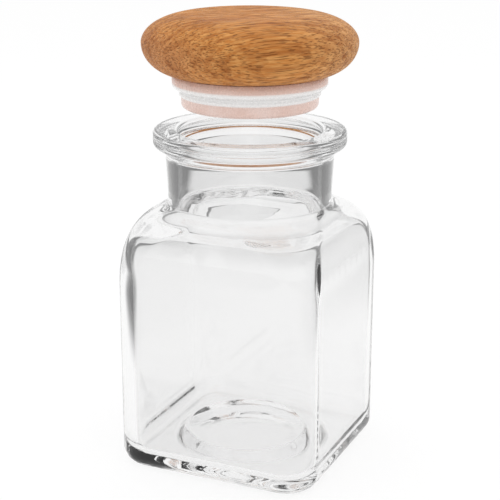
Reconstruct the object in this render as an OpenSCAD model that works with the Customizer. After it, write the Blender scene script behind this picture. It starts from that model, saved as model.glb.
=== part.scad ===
// Square glass spice jar with a round neck, closed by a turned wooden stopper lid
// that carries a soft translucent seal ring. Millimetres, +Z up, the base rests on
// z = 0 and the jar stands on the Z axis. The stopper is drawn lifted out of the
// mouth by rest_lift. It closes by moving straight down, until the curve under the
// seal's collar sits on the round edge of the mouth.

/* [Glass body] */
// Width across the flat sides of the square body
body_w = 55.5; // [52:0.5:70]
// Radius of the four upright corners, outside
corner_r = 9; // [7:0.5:14]
// Height at which the straight sides end and the shoulder starts
side_h = 48.5; // [35:0.5:80]
// Height of the shoulder, from the straight sides to the foot of the neck
shoulder_h = 21.5; // [18:0.1:26]
// Radius round the bottom edge
heel_r = 4; // [1:0.25:4.5]
// Thickness of the glass walls
wall = 2.6; // [2.4:0.1:3.4]
// How much tighter the upright corners are inside than outside
inner_corner_less = 1.7; // [1:0.1:2.6]
// How much higher the shoulder starts inside than outside
inner_start = 4.9; // [4:0.1:5]
// How much higher the shoulder ends inside than outside
inner_end = 1.9; // [1.2:0.1:2.4]
// Thickness of the glass floor at its edge
floor_t = 3.2; // [3:0.1:6]
// Radius between the inner walls and the floor
inner_heel_r = 4; // [3:0.5:6]
// Radius of the round hollow under the base
punt_r = 20; // [12:0.5:20.5]
// Height of that hollow at its middle
punt_rise = 2.6; // [1:0.2:3]
// Height of the low round rise of the floor inside, above this hollow
floor_rise = 2.8; // [1.6:0.2:3.4]
// Width of the slope round that rise
floor_slope = 4.5; // [3:0.5:6]

/* [Neck and rim] */
// Radius of the bore through the neck
bore_r = 18.6; // [17:0.1:19.5]
// Thickness of the neck where it meets the shoulder
neck_wall = 2.7; // [2.4:0.1:3.2]
// How much wider the neck is under the rim than at its foot
neck_flare = 0.6; // [0:0.1:1]
// Height of the neck, from the shoulder to the rim bead
neck_h = 14.3; // [11:0.1:22]
// How far the rim bead stands out from the neck
bead_out = 3.1; // [2:0.1:4]
// Height of the rim bead
bead_h = 4.2; // [3.6:0.1:6]
// Height of the slope under the rim bead
bead_slope = 1.6; // [1:0.1:3]
// Rounding of the rim bead's upper and lower edges
bead_edge_r = 1.1; // [0.5:0.1:1.6]
// Number of fine grooves round the side of the bead
bead_grooves = 2; // [0:1:3]
// Depth of these grooves
groove_depth = 0.2; // [0.1:0.05:0.4]
// Rounding of the rim's inner edge
mouth_edge_r = 1.2; // [0.6:0.1:1.6]

/* [Wooden lid] */
// Diameter of the wooden disc
lid_d = 55; // [50:0.5:66]
// Thickness of the disc
lid_t = 15; // [12:0.5:20]
// Height of the disc's widest line above its underside, as a share of the thickness
lid_waist = 0.53; // [0.4:0.01:0.6]
// How far the rounded top edge reaches in towards the middle
lid_top_round = 13; // [6:0.5:16]
// How far the rounded lower edge reaches in towards the middle
lid_low_round = 9.5; // [5:0.5:9.5]
// Rounding at the lower end of the spigot
spigot_edge_r = 0.8; // [0.4:0.1:1.5]

/* [Seal ring] */
// Depth of the ring, from the disc's underside to its lower end
seal_h = 8.6; // [8.4:0.1:10]
// Depth of the wide collar at the top of the ring
collar_h = 2.4; // [2.2:0.1:3.4]
// How far the collar stands out beyond the bore, to sit on the rim
collar_out = 1.3; // [0.8:0.1:2.4]
// Depth of the curve between the collar and the band
collar_curve = 1.2; // [1:0.1:2]
// Depth of the band that stands out below this curve
band_h = 1.6; // [1:0.1:1.8]
// How far the band stands out from the skirt
band_out = 0.5; // [0.3:0.05:0.6]
// Depth of the fine groove round the band
band_groove = 0.2; // [0.1:0.05:0.3]
// Thickness of the ring at the band
seal_wall = 3; // [2.4:0.1:3.4]
// Rounding of the skirt's lower edge
skirt_edge_r = 1.2; // [0.6:0.1:1.5]

/* [Fits] */
// Gap all round between the seal's band and the bore when closed
band_gap = 0.5; // [0.4:0.1:1.2]
// Running gap between the wood and the seal, round the spigot and under the disc
spigot_gap = 0.05; // [0.02:0.01:0.1]
// How far the wooden spigot ends above the seal's lower end
spigot_inset = 0.3; // [0.1:0.1:1]
// How far the stopper is lifted above the rim as drawn
rest_lift = 14.2; // [12:0.1:30]

/* [Hidden] */

$fn = 96;
overlap = 0.5;
ledge = 0.08;

// Glass body: half widths and heights
half_w = body_w / 2;
inner_half = half_w - wall;
inner_corner = corner_r - inner_corner_less;
shoulder_top = side_h + shoulder_h;
inner_side_h = side_h + inner_start;
inner_top = shoulder_top + inner_end;
rise_foot_r = punt_r + 0.5;
neck_foot_r = bore_r + neck_wall;
neck_top_r = neck_foot_r + neck_flare;
inner_neck_r = bore_r + ledge;

// How far the shoulder's round top and its hollow foot reach, as shares of its height
outer_arch = 1.06;
outer_hollow = 0.18;
inner_arch = 0.83;
inner_hollow = 0.64;

// Steps of the rounded surfaces
corner_steps = 10;
shoulder_steps = 14;
heel_steps = 5;
slope_steps = 6;
edge_steps = 10;
small_steps = 4;

// Neck and rim
bead_low = shoulder_top + neck_h;
rim_z = bead_low + bead_h;
rim_r = neck_top_r + bead_out;
groove_pitch = (bead_h - 2 * bead_edge_r) / (bead_grooves + 1);
groove_r = groove_pitch / 3;

// Stopper
lid_r = lid_d / 2;
under_z = rim_z + rest_lift;
waist_z = under_z + lid_t * lid_waist;
lid_top_z = under_z + lid_t;
collar_r = bore_r + collar_out;
band_r = bore_r - band_gap;
skirt_r = band_r - band_out;
seal_inner_r = band_r - seal_wall;
spigot_r = seal_inner_r - spigot_gap;
seal_top = under_z - spigot_gap;
seal_low = under_z - seal_h;
spigot_low = seal_low + spigot_inset;
collar_low = under_z - collar_h;
band_top = collar_low - collar_curve;
band_low = band_top - band_h;

// One level of the body: a square of the given half width with round corners
function ring(half, radius, z) = [
    for (corner = [0:3], step = [0:corner_steps])
        let (
            side = corner * 90 + 45,
            angle = corner * 90 + 90 * step / corner_steps,
            centre = (half - radius) * sqrt(2)
        )
        [centre * cos(side) + radius * cos(angle), centre * sin(side) + radius * sin(angle), z]
];

// Levels round a bottom edge of the given radius, rising from z_low
function heel_rings(half, corner, radius, z_low) = [
    for (step = [0:heel_steps])
        let (
            angle = 90 * step / heel_steps,
            inset = radius * (1 - sin(angle))
        )
        ring(half - inset, max(corner - inset, corner / 4), z_low + radius * (1 - cos(angle)))
];

// Point of a smooth curve between two ends, with a handle next to each
function curve(start, after, before, end, share) =
    let (rest = 1 - share)
    pow(rest, 3) * start + 3 * rest * rest * share * after
        + 3 * rest * share * share * before + pow(share, 3) * end;

// Half width across the corners of a square with round corners
function slant(half, radius) = half * sqrt(2) - radius * (sqrt(2) - 1);

// Levels of the shoulder, an S curve from the square body to a circle of radius end_r
function shoulder_rings(half, corner, end_r, z_low, z_high, arch, hollow) = [
    for (step = [0:shoulder_steps])
        let (
            share = step / shoulder_steps,
            turned_in = curve(0, 0, 1, 1, share),
            width = half + (end_r - half) * turned_in,
            first = slant(half, corner),
            across = first + (end_r - first) * turned_in,
            radius = (width * sqrt(2) - across) / (sqrt(2) - 1),
            height = z_high - z_low,
            z = curve(z_low, z_low + arch * height, z_high - hollow * height, z_high, share)
        )
        ring(width, min(radius, width), z)
];

// Points of a quarter ellipse in the profile plane, from one angle to another
function quarter(centre_r, centre_z, reach_r, reach_z, from, to, steps = small_steps) = [
    for (step = [0:steps])
        let (angle = from + (to - from) * step / steps)
        [centre_r + reach_r * cos(angle), centre_z + reach_z * sin(angle)]
];

// Closed solid through a list of levels with the same number of points each
module loft(levels) {
    count = len(levels[0]);
    last = len(levels) - 1;
    points = [for (level = levels) for (point = level) point];
    bottom = [[for (i = [0:count - 1]) i]];
    top = [[for (i = [count - 1:-1:0]) last * count + i]];
    sides = [
        for (level = [0:last - 1], i = [0:count - 1])
            let (next = (i + 1) % count)
            [
                level * count + i,
                (level + 1) * count + i,
                (level + 1) * count + next,
                level * count + next
            ]
    ];
    polyhedron(points = points, faces = concat(bottom, top, sides), convexity = 6);
}

// Outside of the body, up to the foot of the neck
module body_outside() {
    loft(concat(
        heel_rings(half_w, corner_r, heel_r, 0),
        shoulder_rings(half_w, corner_r, neck_foot_r, side_h, shoulder_top,
            outer_arch, outer_hollow)
    ));
}

// Space inside the body, up into the foot of the bore
module body_inside() {
    loft(concat(
        heel_rings(inner_half, inner_corner, inner_heel_r, floor_t),
        shoulder_rings(inner_half, inner_corner, inner_neck_r, inner_side_h, inner_top,
            inner_arch, inner_hollow)
    ));
}

// Low round rise of the floor inside the body
module floor_dome() {
    foot = floor_t - ledge;
    rotate_extrude()
        polygon(concat(
            [[0, floor_t - overlap], [rise_foot_r, floor_t - overlap]],
            [
                for (step = [0:slope_steps])
                    let (share = step / slope_steps)
                    [
                        rise_foot_r - floor_slope * share,
                        foot + (floor_rise + ledge) * curve(0, 0, 1, 1, share)
                    ]
            ],
            [[0, floor_t + floor_rise]]
        ));
}

// Neck and rim bead as one turned solid
module neck_outside() {
    bead_side_r = rim_r - bead_edge_r;
    rotate_extrude()
        polygon(concat(
            [[0, side_h], [neck_foot_r - ledge, side_h]],
            [[neck_foot_r - ledge, shoulder_top]],
            [[neck_top_r, bead_low - bead_slope]],
            quarter(bead_side_r, bead_low + bead_edge_r, bead_edge_r, bead_edge_r, -60, 0),
            quarter(bead_side_r, rim_z - bead_edge_r, bead_edge_r, bead_edge_r, 0, 90),
            [[0, rim_z]]
        ));
}

// Bore through the neck and the round edge of the mouth
module mouth_inside() {
    edge_r = bore_r + mouth_edge_r;
    rotate_extrude()
        polygon(concat(
            [[0, side_h], [bore_r, side_h]],
            quarter(edge_r, rim_z - mouth_edge_r, mouth_edge_r, mouth_edge_r, 180, 90),
            [[edge_r, rim_z + overlap], [0, rim_z + overlap]]
        ));
}

// Shallow round hollow under the base, part of a large ball
module punt() {
    ball_r = (punt_r * punt_r + punt_rise * punt_rise) / (2 * punt_rise);
    translate([0, 0, punt_rise - ball_r])
        sphere(r = ball_r, $fn = 200);
}

module bead_groove(z) {
    translate([0, 0, z])
        rotate_extrude()
            translate([rim_r + groove_r - groove_depth, 0])
                circle(r = groove_r, $fn = 24);
}

module glass_jar() {
    color("aliceblue", 0.4)
        difference() {
            union() {
                difference() {
                    union() {
                        body_outside();
                        neck_outside();
                    }
                    body_inside();
                    mouth_inside();
                }
                floor_dome();
            }
            punt();
            for (i = [1:1:bead_grooves])
                bead_groove(bead_low + bead_edge_r + i * groove_pitch);
        }
}

module wooden_lid() {
    color("burlywood")
        rotate_extrude()
            polygon(concat(
                [[0, spigot_low]],
                quarter(spigot_r - spigot_edge_r, spigot_low + spigot_edge_r,
                    spigot_edge_r, spigot_edge_r, -90, 0),
                [[spigot_r, under_z]],
                quarter(lid_r - lid_low_round, waist_z,
                    lid_low_round, waist_z - under_z, -90, 0, edge_steps),
                quarter(lid_r - lid_top_round, waist_z,
                    lid_top_round, lid_top_z - waist_z, 0, 90, edge_steps),
                [[0, lid_top_z]]
            ));
}

module seal_ring() {
    groove_z = (band_top + band_low) / 2;
    color("whitesmoke", 0.7)
        rotate_extrude()
            polygon(concat(
                [[seal_inner_r, seal_top], [seal_inner_r, seal_low]],
                quarter(skirt_r - skirt_edge_r, seal_low + skirt_edge_r,
                    skirt_edge_r, skirt_edge_r, -90, 0),
                [[skirt_r, band_low - band_out], [band_r, band_low]],
                [[band_r, groove_z - band_groove]],
                [[band_r - band_groove, groove_z]],
                [[band_r, groove_z + band_groove]],
                quarter(band_r, collar_low, collar_r - band_r, collar_curve, -90, 0),
                [[collar_r, seal_top]]
            ));
}

glass_jar();
wooden_lid();
seal_ring();
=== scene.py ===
"""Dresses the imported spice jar: clear pressed glass, a turned wooden lid and a milky seal ring.

Everything is in metres in the part's own frame: +Z up, the jar stands on z = 0 with its
neck on the Z axis, and the stopper is drawn lifted out of the mouth.
"""

from math import cos, pi, radians, sin, sqrt

import bpy
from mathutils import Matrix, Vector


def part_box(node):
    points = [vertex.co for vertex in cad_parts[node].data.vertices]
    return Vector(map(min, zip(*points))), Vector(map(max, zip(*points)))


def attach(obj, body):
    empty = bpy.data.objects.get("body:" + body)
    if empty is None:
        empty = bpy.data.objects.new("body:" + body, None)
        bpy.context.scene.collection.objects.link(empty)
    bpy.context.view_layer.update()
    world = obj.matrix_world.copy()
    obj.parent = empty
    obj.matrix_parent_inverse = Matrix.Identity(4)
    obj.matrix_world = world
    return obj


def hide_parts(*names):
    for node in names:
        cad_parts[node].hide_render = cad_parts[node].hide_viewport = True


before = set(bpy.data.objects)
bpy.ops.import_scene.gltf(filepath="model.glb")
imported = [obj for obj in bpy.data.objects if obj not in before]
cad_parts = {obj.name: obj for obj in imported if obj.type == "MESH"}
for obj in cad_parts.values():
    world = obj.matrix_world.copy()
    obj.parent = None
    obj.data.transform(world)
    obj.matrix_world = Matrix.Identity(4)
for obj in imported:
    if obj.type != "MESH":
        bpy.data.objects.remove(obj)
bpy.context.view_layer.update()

MM = 0.001

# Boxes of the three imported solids, from which the driving sizes are taken
jar_low, jar_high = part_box("glass_jar")
seal_low, seal_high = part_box("seal_ring")
lid_low, lid_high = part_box("wooden_lid")

# Glass body
BODY_HALF = jar_high.x
CORNER_R = 9 * MM
HEEL_R = 4 * MM
WALL = 2.6 * MM
FLOOR = 3.2 * MM
INNER_HEEL_R = 4 * MM
DOME_FOOT_R = 20.5 * MM
DOME_TOP_R = 16 * MM
DOME_RISE = 2.8 * MM
PUNT_R = 20 * MM
PUNT_RISE = 2.6 * MM

# Shoulder, outside and inside: ends, and how far its round top and its hollow foot reach
SHOULDER_LOW = 48.5 * MM
SHOULDER_HIGH = 70 * MM
SHOULDER_ARCH = 22.8 * MM
SHOULDER_HOLLOW = 3.9 * MM
INNER_LOW = 53.4 * MM
INNER_HIGH = 71.9 * MM
INNER_ARCH = 15.4 * MM
INNER_HOLLOW = 11.8 * MM
INNER_CORNER_R = 7.3 * MM
ROOT_2 = sqrt(2)

# Neck and rim
BORE_R = 18.6 * MM
NECK_WALL = 2.7 * MM
NECK_FLARE = 0.6 * MM
RIM_Z = jar_high.z
BEAD_H = 4.2 * MM
BEAD_OUT = 3.1 * MM
BEAD_SLOPE = 1.6 * MM
BEAD_EDGE_R = 1.1 * MM
MOUTH_EDGE_R = 1.2 * MM

# Grooves round the bead: their number, depth, and half width as a share of their spacing
BEAD_GROOVES = 2
GROOVE_DEPTH = 0.2 * MM
GROOVE_SHARE = 0.35

# Points round the glass, and how much closer together they lie at the corners
GLASS_POINTS = 320
CORNER_CROWDING = 0.13

# Steps of the glass's stretches: from the underside up the outside, then down the inside
PUNT_STEPS = 12
FOOT_STEPS = 4
HEEL_STEPS = 10
WALL_STEPS = 24
SHOULDER_STEPS = 56
NECK_STEPS = 8
BEAD_LOW_STEPS = 8
GROOVE_STEPS = 4
BEAD_TOP_STEPS = 10
MOUTH_STEPS = 12
INNER_HEEL_STEPS = 12
FLOOR_STEPS = 8
DOME_STEPS = 16
DOME_TOP_STEPS = 12

# Angle at which the round of the bead's lower edge starts, in degrees
BEAD_LOW_START = -60


def ring_angles(count, crowding):
    """Angles round the axis, with their crowding towards the four corners."""
    steps = (2 * pi * i / count for i in range(count))
    return [step + crowding * sin(4 * step) for step in steps]


def reach(half, corner, angle):
    """Distance from the axis to a square of that half width with round corners."""
    across = abs(cos(angle))
    along = abs(sin(angle))
    big = max(across, along)
    small = min(across, along)
    if corner >= half:
        return half
    centre = half - corner
    if small * half <= centre * big:
        return half / big
    spread = centre * (big - small)
    return centre * (big + small) + sqrt(max(corner * corner - spread * spread, 0))


def arc(centre_r, centre_z, reach_r, reach_z, start, end, steps):
    """Points (radius, height) of a part of an ellipse, between two angles in degrees."""
    points = []
    for i in range(steps + 1):
        angle = radians(start + (end - start) * i / steps)
        points.append((centre_r + reach_r * cos(angle), centre_z + reach_z * sin(angle)))
    return points


def skin(name, levels, ring=False):
    """Closed mesh through levels of equal point counts, with a single point at each end.

    As a ring it goes from the last level back to the first instead.
    """
    verts = []
    faces = []
    starts = []
    for level in levels:
        starts.append(len(verts))
        verts.extend(level)
    for lower in range(len(levels) if ring else len(levels) - 1):
        upper = (lower + 1) % len(levels)
        low_count = len(levels[lower])
        up_count = len(levels[upper])
        count = max(low_count, up_count)
        for i in range(count):
            j = (i + 1) % count
            if low_count == 1:
                faces.append((starts[lower], starts[upper] + j, starts[upper] + i))
            elif up_count == 1:
                faces.append((starts[lower] + i, starts[lower] + j, starts[upper]))
            else:
                faces.append((
                    starts[lower] + i,
                    starts[lower] + j,
                    starts[upper] + j,
                    starts[upper] + i,
                ))
    mesh = bpy.data.meshes.new(name)
    mesh.from_pydata(verts, [], faces)
    mesh.polygons.foreach_set("use_smooth", [True] * len(mesh.polygons))
    mesh.validate()
    mesh.update()
    piece = bpy.data.objects.new(name, mesh)
    bpy.context.scene.collection.objects.link(piece)
    return piece


def heel(half, corner, radius, low, steps):
    """Half width, corner radius and height round a bottom edge, going up."""
    rows = []
    for i in range(steps + 1):
        angle = pi / 2 * i / steps
        inset = radius * (1 - sin(angle))
        z = low + radius * (1 - cos(angle))
        rows.append((half - inset, max(corner - inset, corner / 4), z))
    return rows


def cubic(start, after, before, end, share):
    """Point of a smooth curve between two ends, with a handle next to each."""
    rest = 1 - share
    return (rest ** 3 * start + 3 * rest ** 2 * share * after
            + 3 * rest * share ** 2 * before + share ** 3 * end)


def shoulder(half, corner, end_r, low, high, arch, hollow, steps):
    """Rows of an S curve from the square body to a round foot of the neck."""
    slant = half * ROOT_2 - corner * (ROOT_2 - 1)
    rows = []
    for i in range(steps + 1):
        share = i / steps
        turned_in = cubic(0, 0, 1, 1, share)
        width = half + (end_r - half) * turned_in
        slant_now = slant + (end_r - slant) * turned_in
        corner_now = (width * ROOT_2 - slant_now) / (ROOT_2 - 1)
        z = cubic(low, low + arch, high - hollow, high, share)
        rows.append((width, min(corner_now, width), z))
    return rows


def round_rows(points):
    """Rows of a turned stretch, from (radius, height) points."""
    return [(r, r, z) for r, z in points]


def straight(first, last, steps):
    """Rows evenly spaced between two rows, without either end."""
    return [
        tuple(a + (b - a) * i / steps for a, b in zip(first, last))
        for i in range(1, steps)
    ]


def groove_rows(side_r, low, high):
    """Rows of the fine grooves round the side of the bead."""
    pitch = (high - low) / (BEAD_GROOVES + 1)
    points = []
    for i in range(1, BEAD_GROOVES + 1):
        middle = low + i * pitch
        for step in range(-GROOVE_STEPS, GROOVE_STEPS + 1):
            share = step / GROOVE_STEPS
            depth = GROOVE_DEPTH * (1 + cos(pi * share)) / 2
            points.append((side_r - depth, middle + share * pitch * GROOVE_SHARE))
    return round_rows(points)


def glass_rows():
    """The whole skin of the glass: underside, outside, rim, inside and floor."""
    ball_r = (PUNT_R ** 2 + PUNT_RISE ** 2) / (2 * PUNT_RISE)
    rows = []
    for i in range(1, PUNT_STEPS + 1):
        r = PUNT_R * i / PUNT_STEPS
        rows.append((r, r, PUNT_RISE - ball_r + sqrt(ball_r ** 2 - r ** 2)))
    outside = heel(BODY_HALF, CORNER_R, HEEL_R, 0, HEEL_STEPS)
    rows += straight(rows[-1], outside[0], FOOT_STEPS)
    rows += outside
    neck_foot = BORE_R + NECK_WALL
    arch = shoulder(BODY_HALF, CORNER_R, neck_foot, SHOULDER_LOW, SHOULDER_HIGH,
                    SHOULDER_ARCH, SHOULDER_HOLLOW, SHOULDER_STEPS)
    rows += straight(rows[-1], arch[0], WALL_STEPS)
    rows += arch
    neck_top = neck_foot + NECK_FLARE
    bead_low = RIM_Z - BEAD_H
    side_r = neck_top + BEAD_OUT - BEAD_EDGE_R
    under = round_rows([(neck_top, bead_low - BEAD_SLOPE)])
    rows += straight(rows[-1], under[0], NECK_STEPS)
    rows += under
    low_z = bead_low + BEAD_EDGE_R
    top_z = RIM_Z - BEAD_EDGE_R
    rows += round_rows(arc(side_r, low_z, BEAD_EDGE_R, BEAD_EDGE_R,
                           BEAD_LOW_START, 0, BEAD_LOW_STEPS))
    rows += groove_rows(side_r + BEAD_EDGE_R, low_z, top_z)
    rows += round_rows(arc(side_r, top_z, BEAD_EDGE_R, BEAD_EDGE_R, 0, 90, BEAD_TOP_STEPS))
    edge_r = BORE_R + MOUTH_EDGE_R
    rows += round_rows(arc(edge_r, RIM_Z - MOUTH_EDGE_R, MOUTH_EDGE_R, MOUTH_EDGE_R,
                           90, 180, MOUTH_STEPS))
    inner_half = BODY_HALF - WALL
    inside = shoulder(inner_half, INNER_CORNER_R, BORE_R, INNER_LOW, INNER_HIGH,
                      INNER_ARCH, INNER_HOLLOW, SHOULDER_STEPS)
    inside.reverse()
    rows += straight(rows[-1], inside[0], NECK_STEPS)
    rows += inside
    floor_edge = heel(inner_half, INNER_CORNER_R, INNER_HEEL_R, FLOOR, INNER_HEEL_STEPS)
    floor_edge.reverse()
    rows += straight(rows[-1], floor_edge[0], WALL_STEPS)
    rows += floor_edge
    half, corner, level = rows[-1]
    for i in range(1, FLOOR_STEPS + 1):
        share = i / FLOOR_STEPS
        half_now = half + (DOME_FOOT_R - half) * share
        rows.append((half_now, corner + (DOME_FOOT_R - corner) * share, level))
    for i in range(1, DOME_STEPS + 1):
        share = i / DOME_STEPS
        r = DOME_FOOT_R + (DOME_TOP_R - DOME_FOOT_R) * share
        rows.append((r, r, level + DOME_RISE * cubic(0, 0, 1, 1, share)))
    for i in range(1, DOME_TOP_STEPS):
        r = DOME_TOP_R * (1 - i / DOME_TOP_STEPS)
        rows.append((r, r, level + DOME_RISE))
    return rows


def make_glass():
    """The glass: every row of its skin as a level of points round the axis."""
    angles = ring_angles(GLASS_POINTS, CORNER_CROWDING)
    levels = [[(0, 0, PUNT_RISE)]]
    for half, corner, z in glass_rows():
        level = []
        for angle in angles:
            r = reach(half, corner, angle)
            level.append((r * cos(angle), r * sin(angle), z))
        levels.append(level)
    levels.append([(0, 0, FLOOR + DOME_RISE)])
    return skin("jar_glass", levels)


# Points round the turned pieces, and the steps of their rounded edges
TURNED_POINTS = 192
SPIGOT_EDGE_STEPS = 6
LID_EDGE_STEPS = 24
LID_TOP_STEPS = 4
SKIRT_EDGE_STEPS = 8
COLLAR_STEPS = 12


def turned(name, profile, ring=False):
    """Closed turned piece; its profile starts and ends on the axis, or goes round in a ring."""
    angles = [2 * pi * i / TURNED_POINTS for i in range(TURNED_POINTS)]
    levels = []
    for r, z in profile:
        if r == 0:
            levels.append([(0, 0, z)])
        else:
            levels.append([(r * cos(angle), r * sin(angle), z) for angle in angles])
    return skin(name, levels, ring)


# Wooden lid
LID_R = lid_high.x
LID_TOP = lid_high.z
SPIGOT_GAP = 0.05 * MM
LID_UNDER = seal_high.z + SPIGOT_GAP
WAIST_SHARE = 0.53
LID_WAIST = LID_UNDER + WAIST_SHARE * (LID_TOP - LID_UNDER)
LID_TOP_ROUND = 13 * MM
LID_LOW_ROUND = 9.5 * MM
SPIGOT_R = 15.05 * MM
SPIGOT_LOW = lid_low.z
SPIGOT_EDGE_R = 0.8 * MM

# Seal ring
SEAL_TOP = seal_high.z
SEAL_LOW = seal_low.z
COLLAR_R = seal_high.x
COLLAR_H = 2.4 * MM
COLLAR_CURVE = 1.2 * MM
BAND_R = 18.1 * MM
BAND_H = 1.6 * MM
BAND_OUT = 0.5 * MM
BAND_GROOVE = 0.2 * MM
SEAL_INNER_R = 15.1 * MM
SKIRT_EDGE_R = 1.2 * MM
COLLAR_LOW = SEAL_TOP - COLLAR_H
BAND_LOW = COLLAR_LOW - COLLAR_CURVE - BAND_H


def make_lid():
    """The wooden lid: spigot, round underside, round top edge and flat top."""
    low_edge = arc(SPIGOT_R - SPIGOT_EDGE_R, SPIGOT_LOW + SPIGOT_EDGE_R,
                   SPIGOT_EDGE_R, SPIGOT_EDGE_R, -90, 0, SPIGOT_EDGE_STEPS)
    under = arc(LID_R - LID_LOW_ROUND, LID_WAIST,
                LID_LOW_ROUND, LID_WAIST - LID_UNDER, -90, 0, LID_EDGE_STEPS)
    top = arc(LID_R - LID_TOP_ROUND, LID_WAIST,
              LID_TOP_ROUND, LID_TOP - LID_WAIST, 0, 90, LID_EDGE_STEPS)
    flat_r = LID_R - LID_TOP_ROUND
    flat = [(flat_r * (1 - i / LID_TOP_STEPS), LID_TOP) for i in range(1, LID_TOP_STEPS)]
    profile = [(0, SPIGOT_LOW)] + low_edge + [(SPIGOT_R, LID_UNDER)] + under + top[1:]
    profile += flat + [(0, LID_TOP)]
    return turned("lid_wood", profile)


def make_seal():
    """The seal ring: skirt, band with its groove, curve, collar and the hole for the spigot."""
    skirt_r = BAND_R - BAND_OUT
    band_top = COLLAR_LOW - COLLAR_CURVE
    groove_z = (band_top + BAND_LOW) / 2
    profile = arc(skirt_r - SKIRT_EDGE_R, SEAL_LOW + SKIRT_EDGE_R,
                  SKIRT_EDGE_R, SKIRT_EDGE_R, -90, 0, SKIRT_EDGE_STEPS)
    profile += [(skirt_r, BAND_LOW - BAND_OUT), (BAND_R, BAND_LOW)]
    profile += [(BAND_R, groove_z - BAND_GROOVE), (BAND_R - BAND_GROOVE, groove_z)]
    profile += [(BAND_R, groove_z + BAND_GROOVE)]
    profile += arc(BAND_R, COLLAR_LOW, COLLAR_R - BAND_R, COLLAR_CURVE, -90, 0, COLLAR_STEPS)
    profile += [(COLLAR_R, SEAL_TOP), (SEAL_INNER_R, SEAL_TOP), (SEAL_INNER_R, SEAL_LOW)]
    return turned("seal_soft", profile, ring=True)


# Glass: its faint grey, and how much it bends light
GLASS_TINT = (0.93, 0.93, 0.93, 1)
GLASS_IOR = 1.51

# Grain of the lid: its turn and tilt, the heart of the tree, and its year rings
GRAIN_TURN = radians(40)
GRAIN_TILT = radians(3)
HEART_BEHIND = 62 * MM
HEART_ABOVE = 46 * MM
RING_SPACING = 2.4 * MM
RING_WAVER = 3.0

# Wood colours, from the darkest pores to the palest fibres, and where the fibres end
WOOD_PORE = (0.130, 0.038, 0.008, 1)
WOOD_DARK = (0.290, 0.085, 0.016, 1)
WOOD_MEAN = (0.530, 0.197, 0.044, 1)
WOOD_PALE = (0.690, 0.335, 0.105, 1)
WOOD_END = (0.560, 0.250, 0.110, 1)
WOOD_SAP = (0.720, 0.390, 0.160, 1)

# Along the fibres, where the heartwood turns into the paler sapwood
SAPWOOD_FROM = 6 * MM
SAPWOOD_TO = 22 * MM

# Unevenness of the wood. Each has how fine it is along, across and through the grain, per
# metre, then its detail, and the two limits between which it goes from none to full.
WARP = ((20, 80, 80), 2.0, 0.0, 1.0)
FIBRE = ((110, 1500, 2200), 3.0, 0.3, 0.7)
STREAK = ((28, 480, 620), 2.0, 0.42, 0.72)
FLECK = ((240, 1900, 3600), 1.0, 0.53, 0.66)
PATCH = ((70, 150, 150), 2.0, 0.42, 0.70)

# Where late wood shows in a year ring, and where the surface turns from side to end grain
LATE_WOOD = (0.30, 0.95)
END_GRAIN = (0.35, 0.95)

# How strongly rings, streaks, patches, pores, end grain and sapwood change the colour
RING_SHARE = 0.26
STREAK_SHARE = 0.42
PATCH_SHARE = 0.25
FLECK_SHARE = 0.62
END_SHARE = 0.6
SAP_SHARE = 0.55

# Relief of the grain, how deep the pores are beside the fibres, and the wood's sheen
RELIEF_DEPTH = 0.06 * MM
RELIEF_STRENGTH = 0.8
PORE_DEPTH = 1.5
WOOD_ROUGHNESS = (0.62, 0.50)
WOOD_SPECULAR = 0.12

# Seal: pinkish where the wood shows through; over the band and its curve milky, lightened to near
# white as a painted highlight
SEAL_THIN = (0.94, 0.73, 0.66, 1)
SEAL_CLOUD = (0.89, 0.65, 0.57, 1)
SEAL_MILKY_AND_HIGHLIGHT = (0.99, 0.98, 0.97, 1)
MILKY_HIGHLIGHT_FADE = 0.5 * MM
CLOUD = ((160, 160, 260), 2.0, 0.3, 0.7)
SEAL_GRAIN = ((900, 900, 900), 2.0, 0.3, 0.7)
SEAL_ROUGHNESS = (0.22, 0.32)
SEAL_IOR = 1.41
SEAL_CLEARNESS = 0.15

# Roughness of the noise behind every unevenness
NOISE_ROUGHNESS = 0.55


def new_material(name):
    """Material with an empty node tree, and that tree."""
    material = bpy.data.materials.new(name)
    material.use_nodes = True
    material.node_tree.nodes.clear()
    return material, material.node_tree


def put(tree, kind, inputs=None, **settings):
    """New node; its inputs are given as values, or as sockets to link from."""
    made = tree.nodes.new("ShaderNode" + kind)
    for name, value in settings.items():
        setattr(made, name, value)
    for name, value in (inputs or {}).items():
        if isinstance(value, bpy.types.NodeSocket):
            tree.links.new(value, made.inputs[name])
        else:
            made.inputs[name].default_value = value
    return made


def maths(tree, operation, *values, clamp=False):
    """Result of one Math node on values or sockets."""
    made = put(tree, "Math", dict(enumerate(values)), operation=operation, use_clamp=clamp)
    return made.outputs[0]


def ramp(tree, value, low, high, to_low=0.0, to_high=1.0):
    """Smooth step of a value between two limits."""
    inputs = {"Value": value, "From Min": low, "From Max": high,
              "To Min": to_low, "To Max": to_high}
    return put(tree, "MapRange", inputs, interpolation_type="SMOOTHSTEP").outputs["Result"]


def blend(tree, share, first, second):
    """Colour between two colours."""
    return put(tree, "Mix", {0: share, 6: first, 7: second}, data_type="RGBA").outputs[2]


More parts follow.
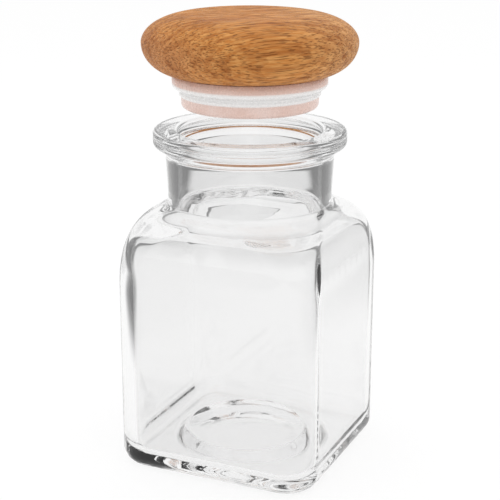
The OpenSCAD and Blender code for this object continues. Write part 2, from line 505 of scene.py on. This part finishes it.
def unevenness_group():
    """Soft unevenness between 0 and 1, stretched along each axis as the material asks."""
    group = bpy.data.node_groups.new("unevenness", "ShaderNodeTree")
    sockets = (("Vector", "INPUT", "NodeSocketVector"), ("Stretch", "INPUT", "NodeSocketVector"),
               ("Detail", "INPUT", "NodeSocketFloat"), ("Low", "INPUT", "NodeSocketFloat"),
               ("High", "INPUT", "NodeSocketFloat"), ("Value", "OUTPUT", "NodeSocketFloat"))
    for name, way, kind in sockets:
        group.interface.new_socket(name, in_out=way, socket_type=kind)
    given = group.nodes.new("NodeGroupInput")
    result = group.nodes.new("NodeGroupOutput")
    scaled = put(group, "VectorMath", {0: given.outputs["Vector"], 1: given.outputs["Stretch"]},
                 operation="MULTIPLY")
    noise = put(group, "TexNoise", {"Vector": scaled.outputs[0], "Scale": 1.0,
                                    "Detail": given.outputs["Detail"],
                                    "Roughness": NOISE_ROUGHNESS})
    shaped = ramp(group, noise.outputs["Fac"], given.outputs["Low"], given.outputs["High"])
    group.links.new(shaped, result.inputs["Value"])
    return group


def uneven(tree, group, vector, stretch, detail, low, high):
    """The group's unevenness in a material, with the material's own stretch and limits."""
    inputs = {"Vector": vector, "Stretch": stretch, "Detail": detail, "Low": low, "High": high}
    return put(tree, "Group", inputs, node_tree=group).outputs["Value"]


def finish_material(tree, shader, shadow_clear=False):
    """Puts the shader on the output; clear glass lets the lamps' light through."""
    if shadow_clear:
        path = put(tree, "LightPath")
        clear = put(tree, "BsdfTransparent")
        shader = put(tree, "MixShader", {0: path.outputs["Is Shadow Ray"],
                                         1: shader.outputs[0], 2: clear.outputs[0]})
    put(tree, "OutputMaterial", {"Surface": shader.outputs[0]})


def glass_material():
    """Clear pressed glass."""
    material, tree = new_material("clear_glass")
    shader = put(tree, "BsdfPrincipled", {"Base Color": GLASS_TINT, "Roughness": 0.0,
                                          "IOR": GLASS_IOR, "Transmission Weight": 1.0})
    finish_material(tree, shader, shadow_clear=True)
    return material


def wood_material(unevenness):
    """Oiled wood with year rings, fibres, streaks, patches, pores, end grain and sapwood."""
    material, tree = new_material("oiled_wood")
    place = put(tree, "TexCoord")
    turn = (0, GRAIN_TILT, -GRAIN_TURN)
    grain = put(tree, "Mapping", {"Vector": place.outputs["Object"], "Rotation": turn}).outputs[0]
    facing = put(tree, "Mapping", {"Vector": place.outputs["Normal"], "Rotation": turn}).outputs[0]
    along = put(tree, "SeparateXYZ", {0: facing}).outputs["X"]
    end = ramp(tree, maths(tree, "ABSOLUTE", along), *END_GRAIN)
    warp = uneven(tree, unevenness, grain, *WARP)
    axes = put(tree, "SeparateXYZ", {0: grain})
    behind = maths(tree, "SUBTRACT", axes.outputs["Y"], HEART_BEHIND)
    above = maths(tree, "SUBTRACT", axes.outputs["Z"], HEART_ABOVE + LID_WAIST)
    behind_2 = maths(tree, "POWER", behind, 2.0)
    above_2 = maths(tree, "POWER", above, 2.0)
    from_heart = maths(tree, "SQRT", maths(tree, "ADD", behind_2, above_2))
    rings = maths(tree, "DIVIDE", from_heart, RING_SPACING)
    rings = maths(tree, "ADD", rings, maths(tree, "MULTIPLY", warp, RING_WAVER))
    late = ramp(tree, maths(tree, "FRACT", rings), *LATE_WOOD)
    fibre = uneven(tree, unevenness, grain, *FIBRE)
    streak = uneven(tree, unevenness, grain, *STREAK)
    fleck = uneven(tree, unevenness, grain, *FLECK)
    patch = uneven(tree, unevenness, grain, *PATCH)
    shade = maths(tree, "MULTIPLY", late, RING_SHARE)
    shade = maths(tree, "ADD", shade, maths(tree, "MULTIPLY", streak, STREAK_SHARE))
    shade = maths(tree, "ADD", shade, maths(tree, "MULTIPLY", patch, PATCH_SHARE))
    colour = blend(tree, fibre, WOOD_MEAN, WOOD_PALE)
    colour = blend(tree, maths(tree, "MULTIPLY", end, END_SHARE), colour, WOOD_END)
    sapwood = ramp(tree, axes.outputs["X"], SAPWOOD_FROM, SAPWOOD_TO, 0.0, SAP_SHARE)
    colour = blend(tree, sapwood, colour, WOOD_SAP)
    colour = blend(tree, shade, colour, WOOD_DARK)
    colour = blend(tree, maths(tree, "MULTIPLY", fleck, FLECK_SHARE), colour, WOOD_PORE)
    relief = maths(tree, "SUBTRACT", fibre, maths(tree, "MULTIPLY", fleck, PORE_DEPTH))
    bump = put(tree, "Bump", {"Height": relief, "Distance": RELIEF_DEPTH,
                              "Strength": RELIEF_STRENGTH})
    roughness = ramp(tree, fibre, 0.0, 1.0, *WOOD_ROUGHNESS)
    shader = put(tree, "BsdfPrincipled", {"Base Color": colour, "Roughness": roughness,
                                          "Normal": bump.outputs[0],
                                          "Specular IOR Level": WOOD_SPECULAR})
    finish_material(tree, shader)
    return material


def seal_material(unevenness):
    """Soft seal: cloudy and thin, and over the band and the curve above it milky with a painted
    highlight.
    """
    material, tree = new_material("soft_seal")
    place = put(tree, "TexCoord").outputs["Object"]
    cloud = uneven(tree, unevenness, place, *CLOUD)
    thin = blend(tree, cloud, SEAL_THIN, SEAL_CLOUD)
    height = put(tree, "SeparateXYZ", {0: place}).outputs["Z"]
    # Painted highlight: the band and the curve above it turn near white, partly the seal's
    # milkiness and partly painted light
    over_skirt = ramp(tree, height, BAND_LOW - MILKY_HIGHLIGHT_FADE, BAND_LOW)
    under_collar = ramp(tree, height, COLLAR_LOW, COLLAR_LOW + MILKY_HIGHLIGHT_FADE, 1.0, 0.0)
    milky_highlight_band = maths(tree, "MULTIPLY", over_skirt, under_collar)
    colour = blend(tree, milky_highlight_band, thin, SEAL_MILKY_AND_HIGHLIGHT)
    grain = uneven(tree, unevenness, place, *SEAL_GRAIN)
    roughness = ramp(tree, grain, 0.0, 1.0, *SEAL_ROUGHNESS)
    shader = put(tree, "BsdfPrincipled", {"Base Color": colour, "Roughness": roughness,
                                          "IOR": SEAL_IOR,
                                          "Transmission Weight": SEAL_CLEARNESS})
    finish_material(tree, shader)
    return material


# Camera: where the photograph was taken from, with its lens and sensor in millimetres
CAMERA_TURN = radians(24.382)
CAMERA_REACH = 337.745 * MM
CAMERA_HEIGHT = 161.135 * MM
CAMERA_TILT = radians(17.368)
CAMERA_LENS = 96.32
CAMERA_SENSOR = 36
CAMERA_NEAREST = 10 * MM

# How strongly the pale room lights matt surfaces
WORLD_LIGHT = 0.85

# White floor: half its width in metres, how far it lies under the jar, its paint and its glow
FLOOR_HALF = 3
FLOOR_DROP = 0.1 * MM
FLOOR_PAINT = (0.8, 0.8, 0.8, 1)
FLOOR_GLOW = 1.085
GLOW_SHARE = 0.75

# Through the glass the floor is a little greyer further away: where that starts and ends
FLOOR_NEAR = 130 * MM
FLOOR_FAR = 330 * MM
FLOOR_FADE = 0.86

# Through the glass it also turns dark to either side, between these distances
SIDE_FROM = 88 * MM
SIDE_TO = 135 * MM
SIDE_DARK = 0.05

# Soft lamp overhead: height, width and power in watts
LAMP_HEIGHT = 0.8
LAMP_SIZE = 0.5
LAMP_POWER = 1.6

# Dark cards beside the jar: how far out they stand, their ends, top, soft edges and tone
CARD_OUT = 140 * MM
CARD_NEAR = -100 * MM
CARD_FAR = 240 * MM
CARD_TOP = 300 * MM
CARD_FADE = 60 * MM
CARD_FADE_TOP = 120 * MM
CARD_TONE = 0.18

# Light meets many walls of thick glass on its way, so it may bounce often
MOST_BOUNCES = 32
MOST_REFLECTIONS = 24


def make_camera():
    """Camera at the photograph's place, looking level along its turn and tilted down."""
    data = bpy.data.cameras.new("camera")
    data.lens = CAMERA_LENS
    data.sensor_width = CAMERA_SENSOR
    data.clip_start = CAMERA_NEAREST
    camera = bpy.data.objects.new("camera", data)
    camera.location = (
        CAMERA_REACH * sin(CAMERA_TURN),
        -CAMERA_REACH * cos(CAMERA_TURN),
        CAMERA_HEIGHT,
    )
    camera.rotation_euler = (pi / 2 - CAMERA_TILT, 0, CAMERA_TURN)
    bpy.context.scene.collection.objects.link(camera)
    bpy.context.scene.camera = camera


def flat_stage(name, corners):
    """Flat surface of the set with four corners, its material and the material's tree."""
    mesh = bpy.data.meshes.new(name)
    mesh.from_pydata(corners, [], [(0, 1, 2, 3)])
    surface = bpy.data.objects.new(name, mesh)
    bpy.context.scene.collection.objects.link(surface)
    material, tree = new_material(name)
    mesh.materials.append(material)
    return surface, tree


def make_floor():
    """White floor; through the glass it is greyer far away and dark to the sides."""
    size = FLOOR_HALF
    corners = [(-size, -size, 0), (size, -size, 0), (size, size, 0), (-size, size, 0)]
    floor, tree = flat_stage("floor", corners)
    floor.location.z = -FLOOR_DROP
    lit = put(tree, "BsdfDiffuse", {"Color": FLOOR_PAINT})
    place = put(tree, "Mapping", {"Vector": put(tree, "TexCoord").outputs["Object"],
                                  "Rotation": (0, 0, -CAMERA_TURN)}).outputs[0]
    away = put(tree, "VectorMath", {0: place}, operation="LENGTH").outputs["Value"]
    aside = maths(tree, "ABSOLUTE", put(tree, "SeparateXYZ", {0: place}).outputs["X"])
    faded = ramp(tree, away, FLOOR_NEAR, FLOOR_FAR, FLOOR_GLOW, FLOOR_GLOW * FLOOR_FADE)
    side = ramp(tree, aside, SIDE_FROM, SIDE_TO, 1.0, SIDE_DARK)
    faded = maths(tree, "MULTIPLY", faded, side)
    through = put(tree, "LightPath").outputs["Is Transmission Ray"]
    level = put(tree, "MapRange", {"Value": through, "To Min": FLOOR_GLOW, "To Max": faded})
    glow = put(tree, "Emission", {"Strength": level.outputs["Result"]})
    both = put(tree, "MixShader", {0: GLOW_SHARE, 1: lit.outputs[0], 2: glow.outputs[0]})
    put(tree, "OutputMaterial", {"Surface": both.outputs[0]})


def make_card(name, out):
    """Dark card that is seen only through glass, fading out at its edges."""
    corners = [(out, CARD_NEAR, 0), (out, CARD_FAR, 0), (out, CARD_FAR, CARD_TOP),
               (out, CARD_NEAR, CARD_TOP)]
    card, tree = flat_stage(name, corners)
    card.rotation_euler.z = CAMERA_TURN
    card.visible_camera = False
    card.visible_diffuse = False
    card.visible_glossy = False
    card.visible_shadow = False
    place = put(tree, "SeparateXYZ", {0: put(tree, "TexCoord").outputs["Object"]})
    depth = place.outputs["Y"]
    near = ramp(tree, depth, CARD_NEAR, CARD_NEAR + CARD_FADE)
    far = ramp(tree, depth, CARD_FAR - CARD_FADE, CARD_FAR, 1.0, 0.0)
    top = ramp(tree, place.outputs["Z"], CARD_TOP - CARD_FADE_TOP, CARD_TOP, 1.0, 0.0)
    solid = maths(tree, "MULTIPLY", maths(tree, "MULTIPLY", near, far), top)
    dark = put(tree, "Emission", {"Color": (CARD_TONE, CARD_TONE, CARD_TONE, 1)})
    clear = put(tree, "BsdfTransparent")
    mixed = put(tree, "MixShader", {0: solid, 1: clear.outputs[0], 2: dark.outputs[0]})
    put(tree, "OutputMaterial", {"Surface": mixed.outputs[0]})


def make_lamp():
    """Soft lamp overhead, which gloss and glass don't show."""
    data = bpy.data.lights.new("soft_lamp", "AREA")
    data.size = LAMP_SIZE
    data.energy = LAMP_POWER
    lamp = bpy.data.objects.new("soft_lamp", data)
    lamp.location.z = LAMP_HEIGHT
    lamp.visible_glossy = False
    lamp.visible_transmission = False
    bpy.context.scene.collection.objects.link(lamp)


def make_world():
    """White where it is seen straight, in gloss or through glass, and softer as a light."""
    world = bpy.data.worlds.new("studio")
    world.use_nodes = True
    bpy.context.scene.world = world
    tree = world.node_tree
    tree.nodes.clear()
    path = put(tree, "LightPath")
    seen = maths(tree, "ADD", path.outputs["Is Camera Ray"], path.outputs["Is Glossy Ray"])
    seen = maths(tree, "ADD", seen, path.outputs["Is Transmission Ray"], clamp=True)
    level = put(tree, "MapRange", {"Value": seen, "To Min": WORLD_LIGHT, "To Max": 1.0})
    back = put(tree, "Background", {"Color": (1, 1, 1, 1), "Strength": level.outputs["Result"]})
    put(tree, "OutputWorld", {"Surface": back.outputs[0]})


make_camera()
make_floor()
make_card("left_card", -CARD_OUT)
make_card("right_card", CARD_OUT)
make_lamp()
make_world()

unevenness = unevenness_group()

glass = make_glass()
glass.data.materials.append(glass_material())
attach(glass, "jar")
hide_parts("glass_jar")

lid = make_lid()
lid.data.materials.append(wood_material(unevenness))
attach(lid, "lid")
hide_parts("wooden_lid")

seal = make_seal()
seal.data.materials.append(seal_material(unevenness))
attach(seal, "seal")
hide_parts("seal_ring")

bpy.context.scene.view_settings.view_transform = "Standard"
cycles = bpy.context.scene.cycles
cycles.max_bounces = MOST_BOUNCES
cycles.glossy_bounces = MOST_REFLECTIONS
cycles.transmission_bounces = MOST_BOUNCES
